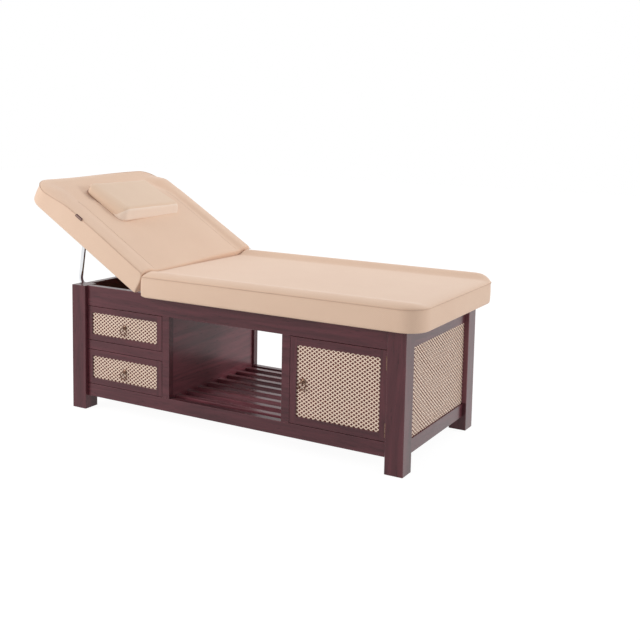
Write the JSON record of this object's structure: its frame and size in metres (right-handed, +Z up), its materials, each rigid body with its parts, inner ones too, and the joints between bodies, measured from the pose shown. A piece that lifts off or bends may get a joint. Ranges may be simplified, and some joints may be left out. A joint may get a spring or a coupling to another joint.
{
  "type": "spa bed with cabinet base",
  "caption": "Spa treatment bed with padded hinged backrest on a prop bail, and a wood cabinet base with cane-panelled drawers, door and open slatted bay.",
  "frame": {"origin": "on the floor under the middle of the bounding box, backrest raised", "axes": "+Z up, -Y the front with the drawers and door, -X the head end, +X the foot end"},
  "size_m": [1.912, 0.8, 1.0216],
  "materials": {
    "mahogany": "satin dark mahogany stain",
    "cane": "natural woven cane",
    "backing": "matt dark stain",
    "pine": "bare pine and plywood",
    "upholstery": "peach beige ribbed upholstery over foam",
    "bronze": "antique bronze",
    "chrome": "polished",
    "steel": "plated",
    "nylon": "moulded nylon"
  },
  "bodies": {
    "base": {"post_front_head": "mahogany", "post_front_foot": "mahogany", "post_back_head": "mahogany", "post_back_foot": "mahogany", "front_bottom_rail": "mahogany", "front_top_rail": "mahogany", "back_bottom_rail": "mahogany", "back_top_rail": "mahogany", "head_bottom_rail": "mahogany", "head_top_rail": "mahogany", "foot_bottom_rail": "mahogany", "foot_top_rail": "mahogany", "front_bay_stiles": "mahogany", "back_bay_stiles": "mahogany", "drawer_divider_rail": "mahogany", "partition_drawers": "mahogany", "partition_cupboard": "mahogany", "back_panel_drawers": "mahogany", "back_panel_cupboard": "mahogany", "cupboard_floor": "mahogany", "shelf_slats": "mahogany", "shelf_bearers": "mahogany", "drawer_runners": "pine", "head_cane": "cane", "head_backing": "backing", "foot_cane": "cane", "foot_backing": "backing", "seat_frame": "pine", "seat_pad": "upholstery", "seat_hinge_leaf": "steel", "bail_rests": "chrome", "foot_glides": "nylon", "door_hinges_post": "bronze"},
    "backrest": {"backrest_frame": "pine", "backrest_pad": "upholstery", "backrest_hinge_leaf": "steel", "bail_brackets": "chrome"},
    "prop": {"prop_bail": "chrome"},
    "pillow": {"pillow": "upholstery"},
    "drawer_upper": {"drawer_upper_frame": "mahogany", "drawer_upper_cane": "cane", "drawer_upper_backing": "backing", "drawer_upper_box": "pine", "drawer_upper_bottom": "pine", "drawer_upper_rosette": "bronze"},
    "drawer_upper_ring": {"drawer_upper_ring": "bronze"},
    "drawer_lower": {"drawer_lower_frame": "mahogany", "drawer_lower_cane": "cane", "drawer_lower_backing": "backing", "drawer_lower_box": "pine", "drawer_lower_bottom": "pine", "drawer_lower_rosette": "bronze"},
    "drawer_lower_ring": {"drawer_lower_ring": "bronze"},
    "door": {"door_frame": "mahogany", "door_cane": "cane", "door_backing": "backing", "door_hinges_leaf": "bronze", "door_rosette": "bronze"},
    "door_ring": {"door_ring": "bronze"}
  },
  "joints": [
    {"name": "backrest_hinge", "type": "hinge", "parent": "base", "child": "backrest", "pos_m": [-0.29901, 0, 0.612], "axis": [0, 1, 0], "range_deg": [-31, 0]},
    {"name": "prop_swing", "type": "hinge", "parent": "backrest", "child": "prop", "pos_m": [-0.72115, 0, 0.75598], "axis": [0, 1, 0], "range_deg": [0, 112.8]},
    {"name": "pillow_lift", "type": "slide", "parent": "backrest", "child": "pillow", "axis": [0.515, 0, 0.8572], "range_m": [0, 0.2]},
    {"name": "drawer_upper_slide", "type": "slide", "parent": "base", "child": "drawer_upper", "axis": [0, -1, 0], "range_m": [0, 0.4]},
    {"name": "drawer_lower_slide", "type": "slide", "parent": "base", "child": "drawer_lower", "axis": [0, -1, 0], "range_m": [0, 0.4]},
    {"name": "door_hinge", "type": "hinge", "parent": "base", "child": "door", "pos_m": [0.80199, -0.34, 0.29], "axis": [0, 0, 1], "range_deg": [0, 110]},
    {"name": "drawer_upper_ring_swing", "type": "hinge", "parent": "drawer_upper", "child": "drawer_upper_ring", "pos_m": [-0.43851, -0.341, 0.388], "axis": [-1, 0, 0], "range_deg": [0, 90]},
    {"name": "drawer_lower_ring_swing", "type": "hinge", "parent": "drawer_lower", "child": "drawer_lower_ring", "pos_m": [-0.43851, -0.341, 0.1955], "axis": [-1, 0, 0], "range_deg": [0, 90]},
    {"name": "door_ring_swing", "type": "hinge", "parent": "door", "child": "door_ring", "pos_m": [0.44699, -0.341, 0.291], "axis": [-1, 0, 0], "range_deg": [0, 90]}
  ],
  "couplings": [
    {"joint": "prop_swing", "follows": "backrest_hinge", "ratio": -3.6387}
  ]
}
